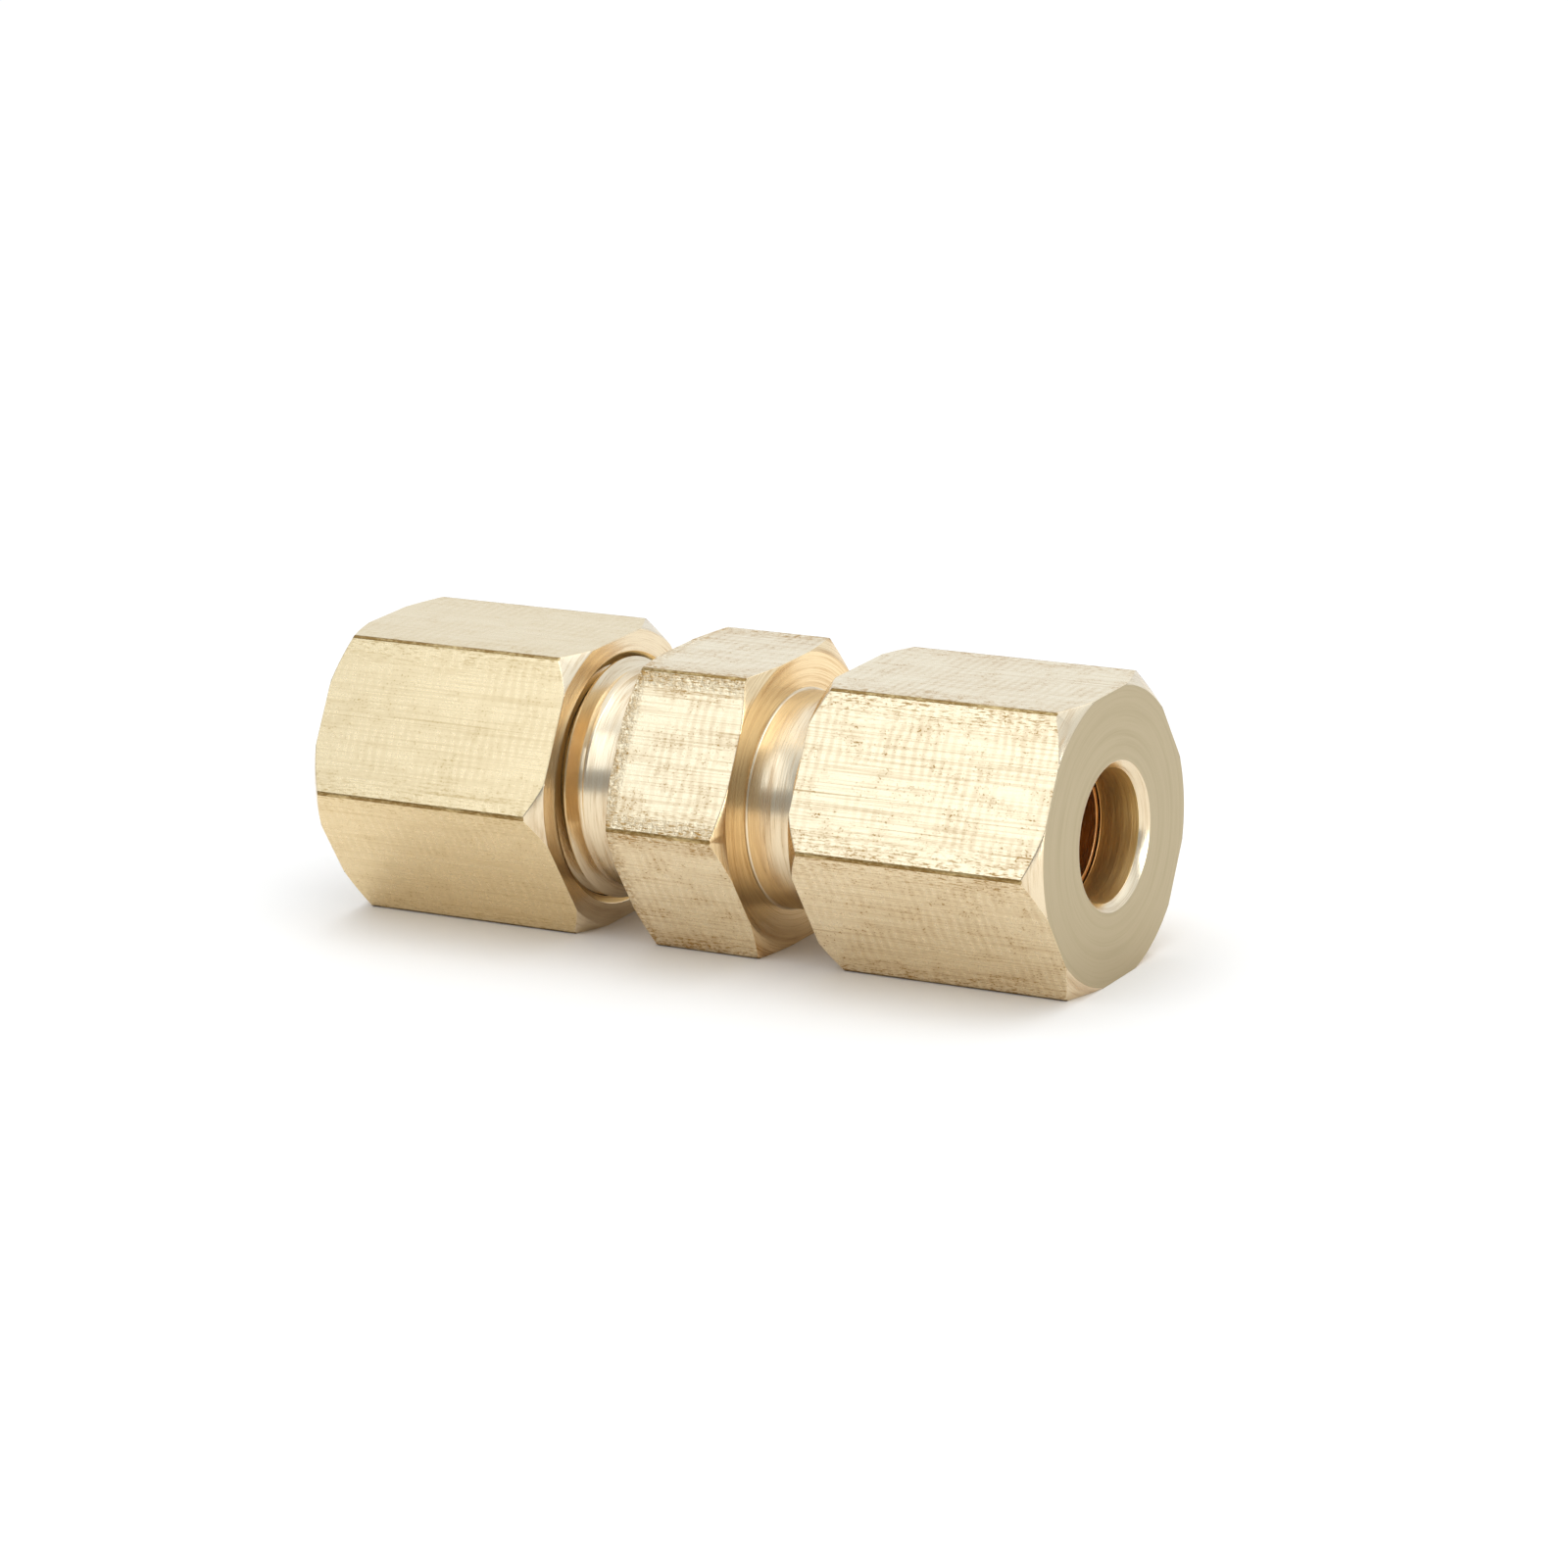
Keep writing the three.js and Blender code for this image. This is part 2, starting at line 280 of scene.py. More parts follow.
def grain(tree, point, size, detail, roughness):
    """Irregular marks of about this size, in millimetres along each axis. Detail and
    roughness give them smaller marks inside."""
    scale = [1 / (extent * MM) for extent in size]
    stretched = add_node(tree, "ShaderNodeMapping", {"Vector": point, "Scale": scale})
    inputs = {"Vector": stretched, "Scale": 1, "Detail": detail, "Roughness": roughness}
    return add_node(tree, "ShaderNodeTexNoise", inputs)


def layered(tree, layers):
    """Adds patterns up into one. Each layer is a pattern, the value where it starts to
    show, the value where it shows in full, how much it then adds, and perhaps a second
    layer that it is seen through."""
    total = None
    for pattern, sparse, full, amount, *through in layers:
        inputs = {"Value": pattern, "From Min": sparse, "From Max": full, "To Max": amount}
        shown = add_node(tree, "ShaderNodeMapRange", inputs)
        for mask in through:
            inputs = {0: shown, 1: layered(tree, [mask])}
            shown = add_node(tree, "ShaderNodeMath", inputs, operation="MULTIPLY")
        if total is not None:
            shown = add_node(tree, "ShaderNodeMath", {0: total, 1: shown}, operation="ADD")
        total = shown
    return total


def radius_and_axes(tree):
    """A point's distance from the X axis, its coordinates, and the point itself."""
    point = add_node(tree, "ShaderNodeTexCoord", {}, "Object")
    split = add_node(tree, "ShaderNodeSeparateXYZ", {"Vector": point}).node.outputs
    across = add_node(tree, "ShaderNodeCombineXYZ", {"Y": split["Y"], "Z": split["Z"]})
    radius = add_node(tree, "ShaderNodeVectorMath", {0: across}, "Value", operation="LENGTH")
    return radius, split, point


def bare_brass(tree, clean, dull, dullness, smooth, rough, reliefs):
    """A bare metal surface. Dullness, from 0 to 1, takes it from its clean colour and
    smooth roughness to its dull colour and rough one. Each relief is a pattern of heights
    and its depth in millimetres."""
    shader = tree.nodes["Principled BSDF"]
    shader.inputs["Metallic"].default_value = 1
    mix = {MIX_FACTOR: dullness, MIX_FIRST: rgba(clean), MIX_SECOND: rgba(dull)}
    base = add_node(tree, "ShaderNodeMix", mix, MIX_RESULT, data_type="RGBA")
    spread = {"Value": dullness, "To Min": smooth, "To Max": rough}
    roughness = add_node(tree, "ShaderNodeMapRange", spread)
    under = {}
    for height, depth in reliefs:
        relief = {"Height": height, "Distance": depth * MM, **under}
        under = {"Normal": add_node(tree, "ShaderNodeBump", relief)}
    tree.links.new(base, shader.inputs["Base Color"])
    tree.links.new(roughness, shader.inputs["Roughness"])
    tree.links.new(under["Normal"], shader.inputs["Normal"])


def new_material(name):
    """A material, and the node tree that its pattern goes into."""
    material = bpy.data.materials.new(name)
    material.use_nodes = True
    return material, material.node_tree


def drawn_brass(name, clean, dull, wear, torn):
    """Brass bar drawn through a hexagonal die, then cut to length. The die leaves long
    scratches along the bar, its chatter leaves soft ripples across, 0.5 mm apart, and
    lubricant burnt into the surface leaves pits and tan specks, thickest beside the
    corners. Where the bar was cut beside a neck, the metal is torn into bright and dark
    chips. The scratches and pits are really about 0.02 mm wide, and are drawn coarser so
    that they show. Wear is how dull it all is, and torn adds the chips."""
    material, tree = new_material(name)
    radius, axes, point = radius_and_axes(tree)
    scratches = grain(tree, point, (7, 0.08, 0.08), 4, 0.6)
    long_scratches = grain(tree, point, (16, 0.12, 0.12), 1, 0.4)
    wave = {"Vector": point, "Scale": WAVE_PERIOD / (0.5 * MM), "Distortion": 3.5, "Detail": 2}
    chatter = add_node(tree, "ShaderNodeTexWave", wave, "Fac", bands_direction="X")
    patches = grain(tree, point, (3.5, 1.8, 1.8), 2, 0.5)
    ripples = layered(tree, [(chatter, 0.2, 0.9, 0.17, (patches, 0.38, 0.6, 1))])
    pits = grain(tree, point, (0.12, 0.09, 0.09), 1, 0.5)
    clusters = grain(tree, point, (1.3, 0.9, 0.9), 4, 0.6)
    dashes = grain(tree, point, (0.4, 0.08, 0.08), 3, 0.6)
    layers = [
        (scratches, 0.48, 0.64, 0.3),
        (long_scratches, 0.7, 0.76, 0.4),
        (ripples, 0, 1, 1),
        (clusters, 0.5, 0.75, 0.2),
        (pits, 0.6, 0.7, 0.8, (clusters, 0.42, 0.66, 1)),
        (dashes, 0.52, 0.64, 0.8, (radius, *BURNT_RADII, 1)),
    ]
    reliefs = [(scratches, 0.006), (ripples, 0.002), (pits, 0.003)]
    if torn:
        chips = grain(tree, point, (0.22, 0.22, 0.22), 3, 0.7)
        torn_part = layered(tree, [(axes["X"], *TORN_PLACES, 1), (radius, *TORN_RADII, 0.6)])
        tears = layered(tree, [(chips, 0.42, 0.6, 0.5, (torn_part, 0, 2, 2))])
        layers.append((tears, 0, 1, 1))
        reliefs.append((tears, 0.06))
    worn = {0: layered(tree, layers), 1: wear}
    dullness = add_node(tree, "ShaderNodeMath", worn, operation="MULTIPLY")
    bare_brass(tree, clean, dull, dullness, 0.27, 0.5, reliefs)
    return material


def corner_brass(name, clean, dull):
    """The bar's rounded corners, which the die burnishes unevenly. Its lubricant stays
    there as a brown film, so a corner reads as a thin dark line with bright flecks."""
    material, tree = new_material(name)
    point = add_node(tree, "ShaderNodeTexCoord", {}, "Object")
    flecks = grain(tree, point, (0.3, 0.12, 0.12), 3, 0.7)
    film = grain(tree, point, (2.5, 0.5, 0.5), 2, 0.5)
    dullness = layered(tree, [(flecks, 0.35, 0.62, 0.6), (film, 0.25, 0.55, 0.6)])
    bare_brass(tree, clean, dull, dullness, 0.3, 0.5, [(flecks, 0.01)])
    return material


def turned_brass(name, clean, dull):
    """Brass cut on a lathe. The tool's feed leaves fine grooves around the axis, which
    draw each highlight out along it, in bands of brighter and duller metal. They are
    really about 0.03 mm apart, and are drawn at 0.08 mm so that they show."""
    shine, streak, contrast, depth = LATHE_MARKS[name]
    material, tree = new_material(name)
    radius, axes, point = radius_and_axes(tree)
    fed = {0: radius, 1: FACE_FEED, 2: axes["X"]}
    feed = add_node(tree, "ShaderNodeMath", fed, operation="MULTIPLY_ADD")
    wound = {"X": feed, "Y": axes["Y"], "Z": axes["Z"]}
    around = add_node(tree, "ShaderNodeCombineXYZ", wound)
    grooves = grain(tree, around, (0.08, streak, streak), 3, 0.6)
    bands = grain(tree, around, (0.5, streak * 2, streak * 2), 3, 0.5)
    cut = {0: layered(tree, [(grooves, 0.5, 0.72, 0.5), (bands, 0.5, 0.75, 0.5)]), 1: contrast}
    dullness = add_node(tree, "ShaderNodeMath", cut, operation="MULTIPLY")
    bare_brass(tree, clean, dull, dullness, shine, shine + MARK_ROUGHNESS, [(grooves, depth)])
    return material


def brass_finishes(context, piece_name):
    """Materials of a machined piece, in the order of its slots, each made once."""
    f = context.scene.union_finishes
    is_body = piece_name == "union_body"
    drawn = (f.drawn, f.drawn_dark, 1, is_body)
    if piece_name == "left_nut":
        drawn = (f.drawn_left, f.drawn_left_dark, LEFT_NUT_WEAR, False)
    # The nuts' parted faces get colours darkened as painted shade
    faced_with_painted_light = ("brass_parted_face_painted_shade", turned_brass, (f.faced_with_painted_light, f.faced_dark_with_painted_shade))
    if is_body:
        # The body's hexagon faces get colours brightened as painted reflection
        faced_with_painted_light = ("brass_grooved_face_painted_reflection", turned_brass, (f.grooved_with_painted_reflection, f.grooved_dark_with_painted_reflection))
    makers = (
        (f"brass_drawn_bar_{piece_name}", drawn_brass, drawn),
        ("brass_turned", turned_brass, (f.turned, f.turned_dark)),
        faced_with_painted_light,
        ("brass_die_corner", corner_brass, (f.corner, f.corner_dark)),
        # The bores' colours are brightened as painted light
        ("brass_bored_painted_light", turned_brass, (f.bored_with_painted_light, f.bored_dark_with_painted_light)),
    )
    return [
        bpy.data.materials.get(name) or maker(name, *settings) for name, maker, settings in makers
    ]


# ---------------------------------------------------------------- shapes


def turned(outline, steps):
    """A closed ring: the outline's (x, radius) points spun a full turn about X, with its
    bores told from its outside."""
    shape = bmesh.new()
    corners = [shape.verts.new((x, radius, 0)) for x, radius in outline]
    edges = [shape.edges.new(pair) for pair in zip(corners, corners[1:] + corners[:1])]
    bmesh.ops.spin(
        shape,
        geom=corners + edges,
        cent=ORIGIN,
        axis=X_AXIS,
        angle=TURN,
        steps=steps,
        use_merge=True,
    )
    bmesh.ops.remove_doubles(shape, verts=shape.verts[:], dist=WELD)
    bmesh.ops.recalc_face_normals(shape, faces=shape.faces[:])
    for face in shape.faces:
        middle = face.calc_center_median()
        outward = Vector((0, middle.y, middle.z)).normalized()
        bore = face.normal.dot(outward) < FACES_AXIS
        face.material_index = BORED if bore else TURNED
    return shape


def mill_flats(shape):
    """Cuts the six flats, which leaves a curved chamfer line on each."""
    for outward in FLAT_WAYS:
        cut = bmesh.ops.bisect_plane(
            shape,
            geom=shape.verts[:] + shape.edges[:] + shape.faces[:],
            dist=ON_PLANE,
            plane_co=outward * HEX_INRADIUS,
            plane_no=outward,
            clear_outer=True,
        )
        rim = [part for part in cut["geom_cut"] if isinstance(part, bmesh.types.BMEdge)]
        bmesh.ops.edgeloop_fill(shape, edges=rim, mat_nr=DRAWN)
    bmesh.ops.recalc_face_normals(shape, faces=shape.faces[:])


def round_edges(shape, edges, offset, segments, finish=-1):
    """Rounds the edges, with a finish of their own or that of the faces beside them."""
    bmesh.ops.bevel(
        shape,
        geom=edges,
        offset=offset,
        offset_type="OFFSET",
        affect="EDGES",
        segments=segments,
        profile=0.5,
        material=finish,
        clamp_overlap=False,
    )


def keep_in_bar(shape):
    """Moves any point that a rounded edge pushed past a flat back onto it."""
    for outward in FLAT_WAYS:
        for corner in shape.verts:
            past = corner.co.dot(outward) - HEX_INRADIUS
            if past > 0:
                corner.co -= outward * past


def finish_edges(shape, sizes):
    """Rounds the bar's long corners to the die's radius, then softens every sharp edge."""
    bmesh.ops.remove_doubles(shape, verts=shape.verts[:], dist=FACET_MERGE)
    corners = [
        edge
        for edge in shape.edges
        if len(edge.link_faces) == 2
        and all(face.material_index == DRAWN for face in edge.link_faces)
        and edge.calc_face_angle(0) > BEVEL_ANGLE
    ]
    if corners:
        setback = sizes.corner_round * math.tan(math.pi / 6)
        round_edges(shape, corners, setback, CORNER_SEGMENTS, CORNER)
        bmesh.ops.remove_doubles(shape, verts=shape.verts[:], dist=FACET_MERGE)
    sharp = [edge for edge in shape.edges if edge.calc_face_angle(0) > BEVEL_ANGLE]
    round_edges(shape, sharp, sizes.edge_round, EDGE_SEGMENTS)
    bmesh.ops.remove_doubles(shape, verts=shape.verts[:], dist=HAIR)
    keep_in_bar(shape)


def helical_ridge(sizes, inner, outer, room, start, end):
    """A 60 degree thread tooth swept along a right-hand helix about X."""
    slope = math.tan(math.pi / 6)
    half = sizes.pitch / 4 + room
    inner_half = half + (sizes.pitch_radius - inner) * slope
    outer_half = half - (outer - sizes.pitch_radius) * slope
    shape = bmesh.new()
    outline = [
        (start - inner_half, inner),
        (start + inner_half, inner),
        (start + outer_half, outer),
        (start - outer_half, outer),
    ]
    corners = [shape.verts.new((x, radius, 0)) for x, radius in outline]
    tooth = shape.faces.new(corners)
    turns = math.ceil((end - start) / sizes.pitch)
    around = sizes.steps // 2  # a thread's facets are half as many, and still look round
    bmesh.ops.spin(
        shape,
        geom=corners + tooth.edges[:] + [tooth],
        cent=ORIGIN,
        axis=X_AXIS,
        dvec=X_AXIS * sizes.pitch / around,
        angle=TURN * turns,
        steps=turns * around,
    )
    bmesh.ops.recalc_face_normals(shape, faces=shape.faces[:])
    for face in shape.faces:
        face.material_index = TURNED
    return shape


def to_object(name, shape, materials=()):
    """Puts the shape in the scene as an object, at the origin, and lets go of it."""
    mesh = bpy.data.meshes.new(name)
    shape.to_mesh(mesh)
    shape.free()
    for material in materials:
        mesh.materials.append(material)
    piece = bpy.data.objects.new(name, mesh)
    bpy.context.scene.collection.objects.link(piece)
    return piece


def bake_modifiers(piece):
    """Replaces the piece's mesh with what its modifiers make of it."""
    bpy.context.view_layer.update()
    evaluated = piece.evaluated_get(bpy.context.evaluated_depsgraph_get())
    mesh = bpy.data.meshes.new_from_object(evaluated)
    piece.modifiers.clear()
    old = piece.data
    piece.data = mesh
    bpy.data.meshes.remove(old)


def combine(piece, operation, shape):
    """Joins, cuts or intersects the piece with a second shape, which is then dropped."""
    other = to_object("tool", shape, piece.data.materials[:])
    modifier = piece.modifiers.new("combine", "BOOLEAN")
    modifier.operation = operation
    modifier.solver = "EXACT"
    modifier.object = other
    bake_modifiers(piece)
    mesh = other.data
    bpy.data.objects.remove(other)
    bpy.data.meshes.remove(mesh)
    if not piece.data.polygons:
        raise RuntimeError(f"{piece.name}: the {operation.lower()} left nothing")


def common_part(first, second):
    """What two shapes have in common, as turned metal."""
    piece = to_object("common", first)
    combine(piece, "INTERSECT", second)
    shape = bmesh.new()
    shape.from_mesh(piece.data)
    for face in shape.faces:
        face.material_index = TURNED
    mesh = piece.data
    bpy.data.objects.remove(piece)
    bpy.data.meshes.remove(mesh)
    return shape


def end_for_end(shape):
    """Turns a shape to the union's left end, which keeps its thread right-handed."""
    bmesh.ops.rotate(
        shape, cent=ORIGIN, matrix=Matrix.Rotation(math.pi, 3, "Z"), verts=shape.verts[:]
    )


def close_slivers(shape):
    """Merges the slivers that a boolean leaves where a thread runs out, and closes the
    pinholes beside them."""
    bmesh.ops.remove_doubles(shape, verts=shape.verts[:], dist=SLIVER)
    bmesh.ops.dissolve_degenerate(shape, edges=shape.edges[:], dist=SLIVER)
    loose = [edge for edge in shape.edges if not edge.link_faces]
    bmesh.ops.delete(shape, geom=loose, context="EDGES")
    rims = [edge for edge in shape.edges if edge.is_boundary]
    bmesh.ops.holes_fill(shape, edges=rims, sides=0)


def is_plane(face):
    """Whether a face is part of one of the bar's flats or of a face turned square."""
    return any(abs(face.normal.dot(way)) > SAME_WAY for way in [*FLAT_WAYS, X_AXIS])


def finish_piece(piece, body, node):
    """Smooth shading that keeps planes plane, and the piece's place in the frame."""
    mesh = piece.data
    shape = bmesh.new()
    shape.from_mesh(mesh)
    close_slivers(shape)
    shape.normal_update()
    for edge in shape.edges:
        edge.smooth = edge.calc_face_angle(0) < SHARP_ANGLE
        if len({is_plane(face) for face in edge.link_faces}) == 2:
            edge.smooth = False
    for face in shape.faces:
        face.smooth = True
    shape.to_mesh(mesh)
    shape.free()
    weighted = piece.modifiers.new("flat_normals", "WEIGHTED_NORMAL")
    weighted.keep_sharp = True
    bake_modifiers(piece)
    piece.data.name = piece.name
    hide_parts(node)
    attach(piece, body)


# ---------------------------------------------------------------- pieces


def body_outline(s):
    """Right half of the body's section: outside from the middle out, then the bores."""
    seat_slope = (FERRULE_RADIUS - s.ferrule_face) / s.ferrule_cone
    seat_depth = (s.seat_radius - s.socket_radius) / seat_slope
    nominal_radius = s.thread_radius + CREST_ALLOWANCE
    end_land = BODY_END - (nominal_radius - s.end_chamfer - s.neck_radius)
    outside = [
        (s.hex_half_width - s.hex_chamfer, HEX_CIRCUMRADIUS),
        (s.hex_half_width, s.hex_face_radius),
    ]
    for step in range(FILLET_SEGMENTS + 1):
        angle = step * TURN / 4 / FILLET_SEGMENTS
        along = s.neck_fillet * (1 - math.cos(angle))
        out = s.neck_fillet * (1 - math.sin(angle))
        outside.append((s.hex_half_width + along, s.neck_radius + out))
    outside += [
        (s.neck_end, s.neck_radius),
        (s.neck_end + s.root_radius - s.neck_radius, s.root_radius),
        (end_land - (s.root_radius - s.neck_radius), s.root_radius),
        (end_land, s.neck_radius),
    ]
    inside = [
        (BODY_END, s.seat_radius),
        (BODY_END - seat_depth, s.socket_radius),
        (s.tube_stop, s.socket_radius),
        (s.tube_stop, s.waterway_radius),
    ]
    return outside + inside


def body_thread(s):
    """The male thread of the right end, with its run-out and lead-in."""
    start = s.neck_end - LEAD_IN_PITCHES * s.pitch
    inner = s.root_radius - ROOT_OVERLAP
    ridge = helical_ridge(
        s, inner, s.thread_radius, -s.flank_room, start, BODY_END + s.pitch
    )
    rise = s.thread_radius - s.neck_radius
    hidden = s.root_radius - HIDDEN_DEPTH
    outer = s.thread_radius + CUT_MARGIN
    last = BODY_END - ROOT_OVERLAP
    limit = turned(
        [
            (s.neck_end, s.neck_radius - HAIR),
            (s.neck_end + rise, outer),
            (BODY_END - s.end_chamfer, outer),
            (last, s.root_radius - CUT_MARGIN / 2),
            (last, hidden),
            (s.neck_end, hidden),
        ],
        s.steps,
    )
    return common_part(ridge, limit)


def mark_hexagon_faces(shape, sizes):
    """Gives the grooving tool's finish to the hexagon's faces and chamfers."""
    for face in shape.faces:
        middle = face.calc_center_median()
        beside_neck = abs(middle.x) < sizes.hex_half_width + HAIR
        outside_neck = middle.yz.length > sizes.neck_radius + sizes.neck_fillet
        if face.material_index == TURNED and beside_neck and outside_neck:
            face.material_index = FACED


class UNION_OT_body(Operator):
    """Makes the body: hexagon, necks, threads, cone seats, tube sockets and waterway"""

    bl_idname = "union.body"
    bl_label = "Body"

    def execute(self, context):
        sizes = context.scene.union_sizes
        right = body_outline(sizes)
        left = [(-x, radius) for x, radius in reversed(right)]
        shape = turned(right + left, sizes.steps)
        mill_flats(shape)
        mark_hexagon_faces(shape, sizes)
        finish_edges(shape, sizes)
        finishes = brass_finishes(context, "union_body")
        piece = to_object("union_body_brass", shape, finishes)
        combine(piece, "UNION", body_thread(sizes))
        left_thread = body_thread(sizes)
        end_for_end(left_thread)
        combine(piece, "UNION", left_thread)
        finish_piece(piece, "body", "union_body")
        return {"FINISHED"}


def nut_outline(s):
    """The right nut's section: outside from mouth to tube end, then back through it."""
    mouth_depth = s.mouth_hole_radius - s.nut_crest_radius
    cone_depth = s.nut_crest_radius - s.hole_radius
    return [
        (NUT_MOUTH, s.mouth_face_radius),
        (NUT_MOUTH + s.mouth_chamfer, HEX_CIRCUMRADIUS),
        (NUT_END - s.nut_end_chamfer, HEX_CIRCUMRADIUS),
        (NUT_END, s.end_face_radius),
        (NUT_END, s.hole_radius + s.hole_chamfer),
        (NUT_END - s.hole_chamfer, s.hole_radius),
        (s.shoulder, s.hole_radius),
        (s.shoulder - cone_depth, s.nut_crest_radius),
        (NUT_MOUTH + mouth_depth, s.nut_crest_radius),
        (NUT_MOUTH, s.mouth_hole_radius),
    ]


def nut_groove(s):
    """The cutter for the right nut's thread, which tapers out inside."""
    start = s.neck_end - NUT_LEAD_IN_PITCHES * s.pitch
    inner = s.nut_crest_radius - ROOT_OVERLAP
    groove = helical_ridge(
        s, inner, s.nut_root_radius, s.flank_room, start, s.thread_end + s.pitch
    )
    outer = s.nut_root_radius + 5 * CUT_MARGIN
    taper_end = s.thread_end + s.nut_root_radius - inner
    limit = turned(
        [
            (NUT_MOUTH - s.pitch, inner - CUT_MARGIN),
            (NUT_MOUTH - s.pitch, outer),
            (s.thread_end, outer),
            (s.thread_end, s.nut_root_radius + CUT_MARGIN / 10),
            (taper_end, inner),
            (taper_end, inner - CUT_MARGIN),
        ],
        s.steps,
    )
    return common_part(groove, limit)


def mark_nut_faces(shape, sizes):
    """Gives the right nut's end its parted face, and its countersink a bored one."""
    for face in shape.faces:
        middle = face.calc_center_median()
        in_mouth = middle.x < NUT_MOUTH + sizes.pitch
        if middle.x > NUT_END - HAIR:
            face.material_index = FACED
        if in_mouth and middle.yz.length < sizes.mouth_hole_radius:
            face.material_index = BORED


class UNION_OT_nuts(Operator):
    """Makes the two compression nuts, each on its own end of the body"""

    bl_idname = "union.nuts"
    bl_label = "Nuts"

    def execute(self, context):
        sizes = context.scene.union_sizes
        for side in ("right", "left"):
            shape = turned(nut_outline(sizes), sizes.steps)
            mill_flats(shape)
            mark_nut_faces(shape, sizes)
            finish_edges(shape, sizes)
            groove = nut_groove(sizes)
            if side == "left":
                end_for_end(shape)
                end_for_end(groove)
            nut = f"{side}_nut"
            piece = to_object(f"{nut}_brass", shape, brass_finishes(context, nut))
            combine(piece, "DIFFERENCE", groove)
            finish_piece(piece, nut, nut)
        return {"FINISHED"}


class UNION_OT_ferrules(Operator):
    """Makes the two loose sealing ferrules inside the nuts"""

    bl_idname = "union.ferrules"
    bl_label = "Ferrules"

    def execute(self, context):
        s = context.scene.union_sizes
        bevel = FERRULE_RADIUS - s.ferrule_face
        outline = [
            (FERRULE_FRONT, s.ferrule_bore),
            (FERRULE_FRONT, s.ferrule_face),
            (FERRULE_FRONT + s.ferrule_cone, FERRULE_RADIUS),
            (FERRULE_REAR - bevel, FERRULE_RADIUS),
            (FERRULE_REAR, s.ferrule_face),
            (FERRULE_REAR, s.ferrule_bore),
        ]
        finishes = context.scene.union_finishes
        # Its colours are partly painted shade of the nuts' inside
        material = turned_brass("brass_ferrule_painted_shade", finishes.ferrule, finishes.ferrule_dark_with_painted_shade)
        for side in ("right", "left"):
            shape = turned(outline, s.steps)
            finish_edges(shape, s)
            for face in shape.faces:
                face.material_index = 0
            if side == "left":
                end_for_end(shape)
            sleeve = f"{side}_ferrule"
            piece = to_object(f"{sleeve}_brass", shape, [material])
            finish_piece(piece, sleeve, sleeve)
        return {"FINISHED"}


# ---------------------------------------------------------------- studio

# Azimuth and elevation of the camera's line of sight in degrees, and its turn about it
CAMERA_DIRECTION = (31.14, 16.32)
CAMERA_ROLL = math.radians(-2.757)
CAMERA_PLACE = Vector((147.55, -240.37, 82.85)) * MM
CAMERA_CLIP = 1 * MM
LENS_MM = 139.05
SENSOR_MM = 36

FLOOR_HALF_WIDTH = 4  # metres, so that its far edge is out of sight

# How bright the room is in front, and how much brighter behind and overhead
FRONT_BRIGHTNESS, BACK_EXTRA, OVERHEAD_EXTRA = 0.45, 0.65, 0.9

SOFTBOX_DISTANCE = 0.6  # metres
# Name, azimuth and elevation in degrees, width and height in metres, brightness
SOFTBOXES = (
    ("key", -25, 38, (0.36, 0.36), 1.2),
    ("overhead", 10, 84, (0.5, 0.5), 1.2),
    ("side", 85, 12, (0.3, 0.3), 4.0),
)


def soft_box(name, place, target, size, radiance):
    """A rectangular softbox whose front looks equally bright wherever it is seen."""
    data = bpy.data.lights.new(name, "AREA")
    data.shape = "RECTANGLE"
    data.size, data.size_y = size
    data.energy = radiance * math.pi * size[0] * size[1]
    data.color = bpy.context.scene.union_finishes.light
    lamp = bpy.data.objects.new(name, data)
    lamp.location = place
    lamp.rotation_euler = (place - target).to_track_quat("Z", "Y").to_euler()
    bpy.context.scene.collection.objects.link(lamp)


def rolled_paper(name, paper_colour):
    """White paper off a roll, laid as the floor. It is matt, so it spreads light evenly
    and shows a soft shadow and no reflection."""
    material, tree = new_material(name)
    shader = tree.nodes["Principled BSDF"]
    shader.inputs["Base Color"].default_value = rgba(paper_colour)
    shader.inputs["Roughness"].default_value = 0.9
    return material


def surroundings():
    """A white studio, brightest behind and overhead, and dimmest in front."""
    world = bpy.data.worlds.new("studio")
    world.use_nodes = True
    tree = world.node_tree
    way = add_node(tree, "ShaderNodeTexCoord", {}, "Generated")
    depth = add_node(tree, "ShaderNodeSeparateXYZ", {"Vector": way}, "Y")
    height = add_node(tree, "ShaderNodeSeparateXYZ", {"Vector": way}, "Z")
    extra = layered(tree, [(depth, -0.6, 0.7, BACK_EXTRA), (height, 0.5, 1.0, OVERHEAD_EXTRA)])
    strength = add_node(tree, "ShaderNodeMath", {0: extra, 1: FRONT_BRIGHTNESS}, operation="ADD")
    tree.links.new(strength, tree.nodes["Background"].inputs["Strength"])
    light = bpy.context.scene.union_finishes.light
    tree.nodes["Background"].inputs["Color"].default_value = rgba(light)
    return world


def direction(azimuth, elevation):
    """Unit vector from the object, with azimuth 0 towards -Y and 90 towards +X."""
    a, e = math.radians(azimuth), math.radians(elevation)
    return Vector((math.sin(a) * math.cos(e), -math.cos(a) * math.cos(e), math.sin(e)))


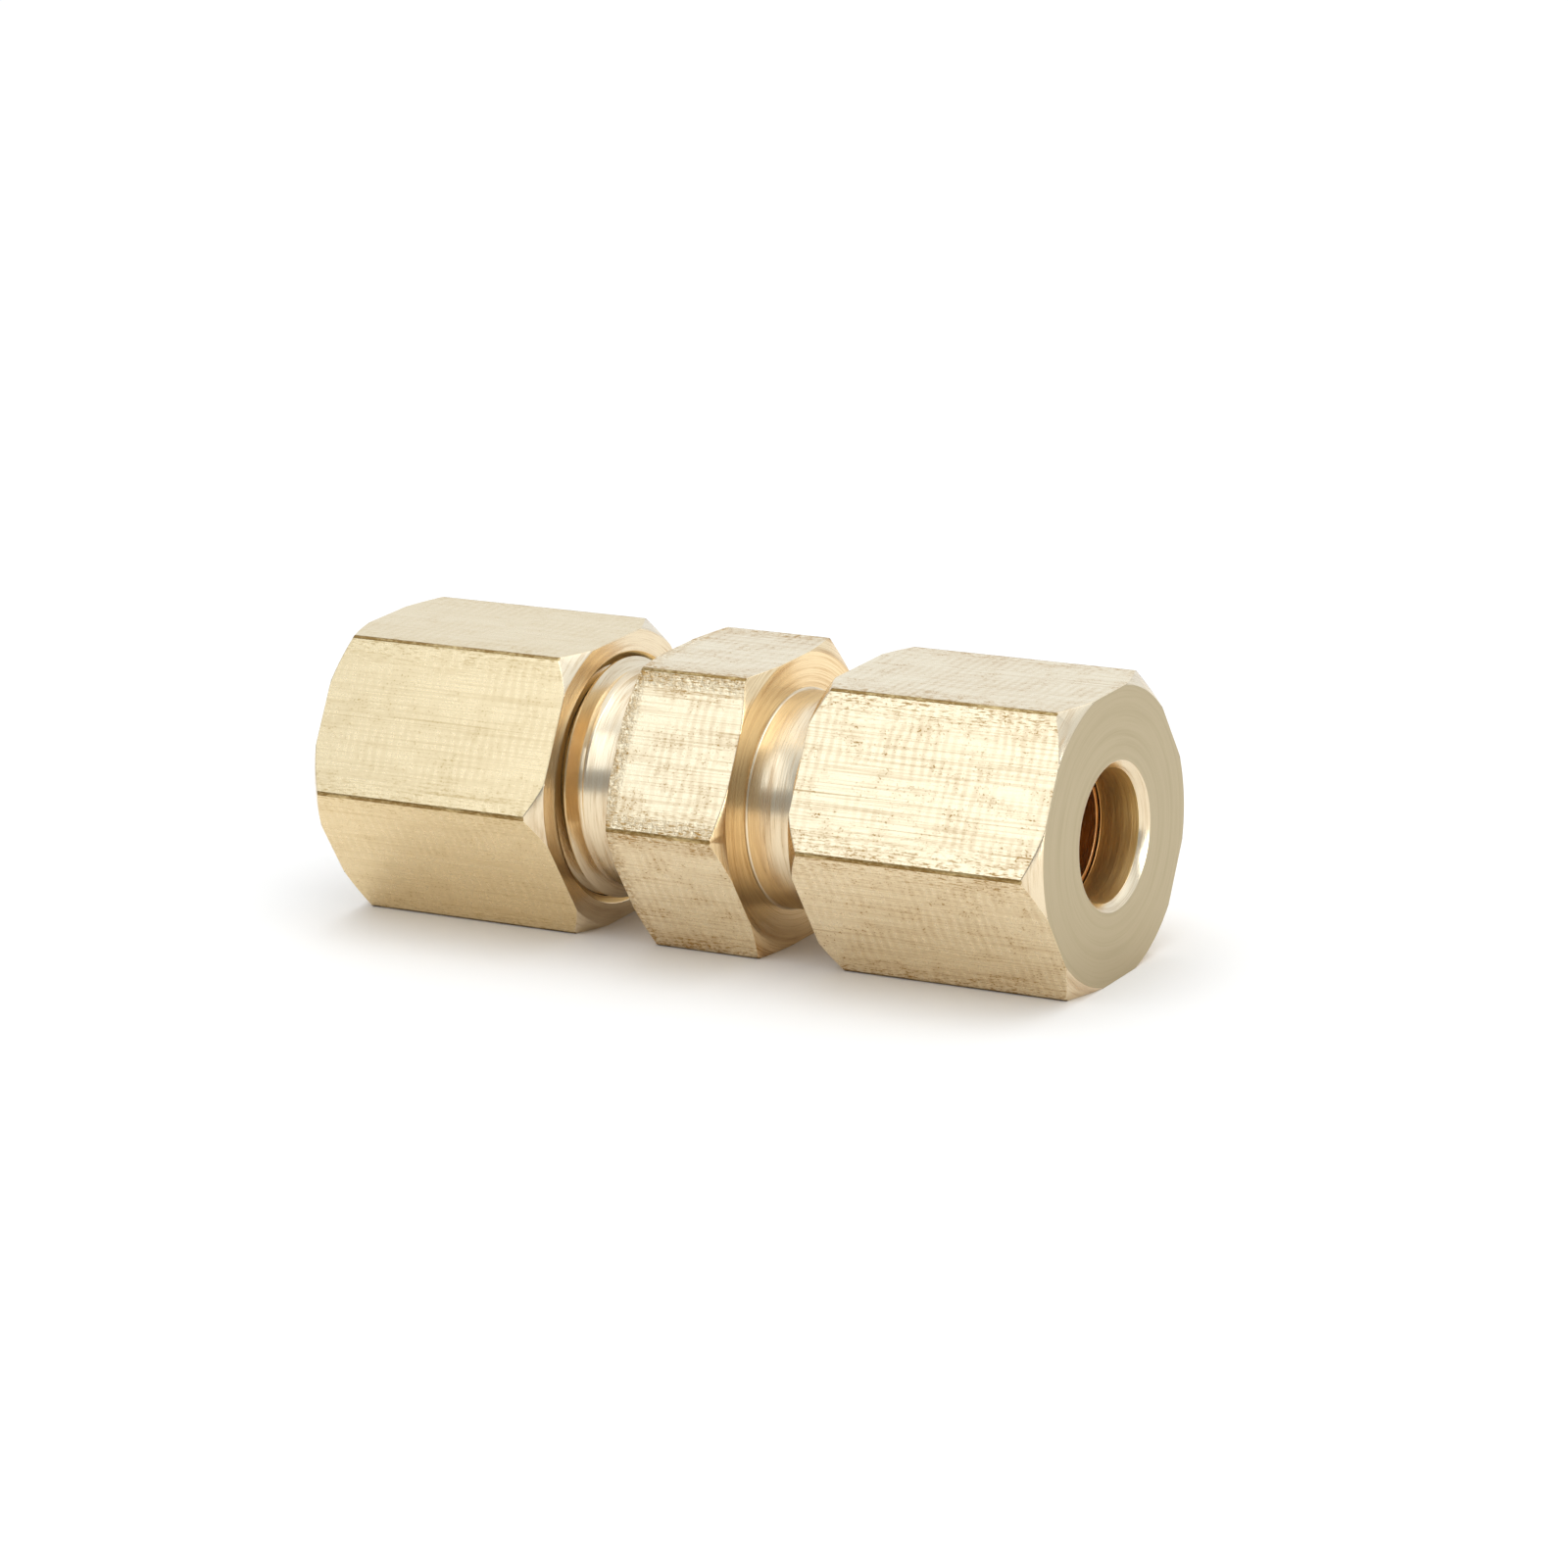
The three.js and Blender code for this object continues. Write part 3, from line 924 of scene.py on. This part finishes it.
class UNION_OT_stage(Operator):
    """Makes the pale floor, the soft lights, the surroundings and the camera"""

    bl_idname = "union.stage"
    bl_label = "Studio"

    def execute(self, context):
        scene = context.scene
        scene.view_settings.view_transform = "Standard"

        sheet = bmesh.new()
        bmesh.ops.create_grid(sheet, x_segments=1, y_segments=1, size=FLOOR_HALF_WIDTH)
        bmesh.ops.translate(sheet, verts=sheet.verts[:], vec=(0, 0, CAD_BOX[0].z))
        paper = rolled_paper("paper_rolled_white", scene.union_finishes.floor)
        floor = to_object("floor", sheet, [paper])

        scene.world = surroundings()

        middle = (CAD_BOX[0] + CAD_BOX[1]) / 2
        for name, azimuth, elevation, size, radiance in SOFTBOXES:
            place = middle + direction(azimuth, elevation) * SOFTBOX_DISTANCE
            soft_box(name, place, middle, size, radiance)

        data = bpy.data.cameras.new("camera")
        data.lens = LENS_MM
        data.sensor_width = SENSOR_MM
        data.clip_start = CAMERA_CLIP
        camera = bpy.data.objects.new("camera", data)
        back = direction(*CAMERA_DIRECTION)
        aim = back.to_track_quat("Z", "Y") @ Quaternion((0, 0, 1), CAMERA_ROLL)
        camera.rotation_euler = aim.to_euler()
        camera.location = CAMERA_PLACE
        scene.collection.objects.link(camera)
        scene.camera = camera
        return {"FINISHED"}


class UNION_PT_panel(Panel):
    """Lists the union's sizes, finishes and pieces"""

    bl_idname = "UNION_PT_panel"
    bl_label = "Compression union"
    bl_space_type = "VIEW_3D"
    bl_region_type = "UI"
    bl_category = "Union"

    def draw(self, context):
        for operator in OPERATORS:
            self.layout.operator(operator.bl_idname)
        for group in (context.scene.union_sizes, context.scene.union_finishes):
            box = self.layout.box()
            for name in group.__annotations__:
                box.prop(group, name)


OPERATORS = (UNION_OT_stage, UNION_OT_body, UNION_OT_nuts, UNION_OT_ferrules)
CLASSES = (UnionSizes, UnionFinishes, *OPERATORS, UNION_PT_panel)


def register():
    for cls in CLASSES:
        bpy.utils.register_class(cls)
    bpy.types.Scene.union_sizes = PointerProperty(type=UnionSizes)
    bpy.types.Scene.union_finishes = PointerProperty(type=UnionFinishes)


def unregister():
    del bpy.types.Scene.union_finishes
    del bpy.types.Scene.union_sizes
    for cls in reversed(CLASSES):
        bpy.utils.unregister_class(cls)


def main():
    register()
    bpy.ops.union.stage()
    bpy.ops.union.body()
    bpy.ops.union.nuts()
    bpy.ops.union.ferrules()


if __name__ == "__main__":
    main()
